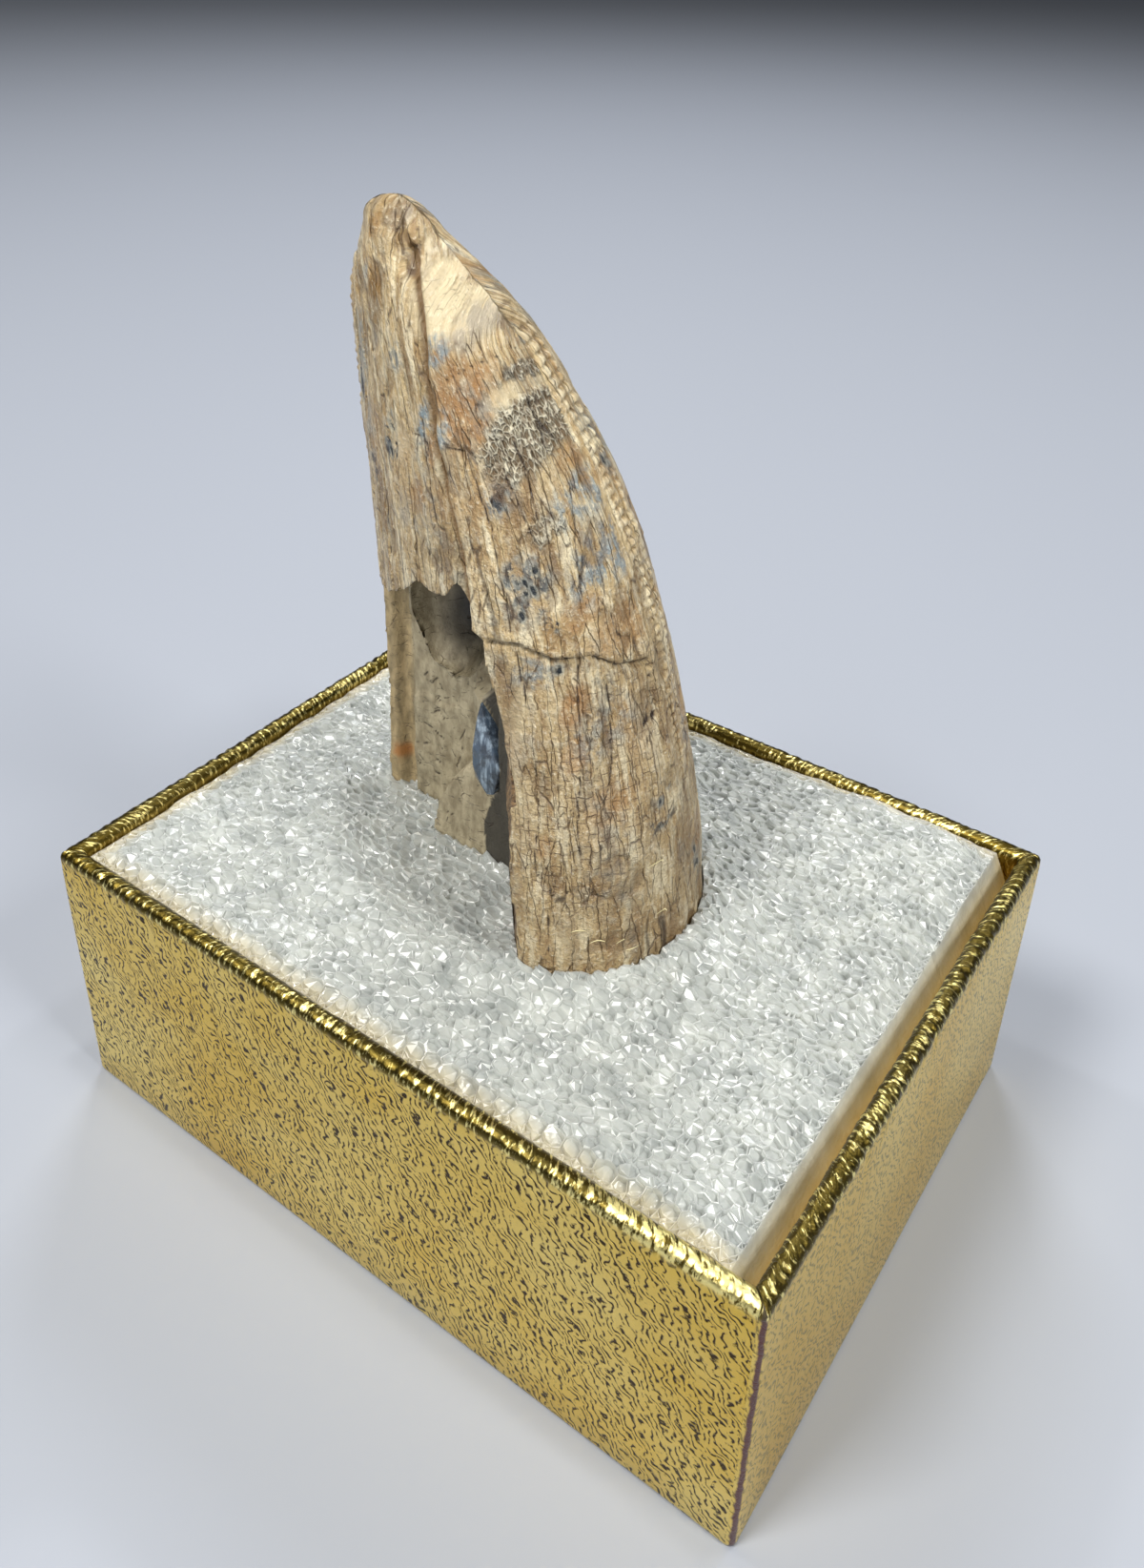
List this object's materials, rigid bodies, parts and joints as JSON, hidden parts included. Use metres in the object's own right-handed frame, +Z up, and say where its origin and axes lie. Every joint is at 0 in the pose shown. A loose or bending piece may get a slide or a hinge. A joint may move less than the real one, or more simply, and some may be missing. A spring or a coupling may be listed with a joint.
{
  "type": "fossil dinosaur tooth",
  "caption": "Broken fossil theropod tooth with serrated edges, standing upright in the white foam of a small open gold foil gift box.",
  "frame": {"origin": "middle of the box's underside", "axes": "+Z up through the tooth, +X along the long side of the box, +Y along its short side"},
  "size_m": [0.052, 0.039, 0.0612],
  "materials": {
    "fossil": "satin enamel, cracked",
    "foam": "open cells with glossy windows",
    "board": "matte",
    "foil": "embossed metallised gold foil paper"
  },
  "bodies": {
    "root": {"tooth": "fossil", "foam_pad": "foam", "box_board": "board", "foil_wrap": "foil"}
  },
  "joints": []
}
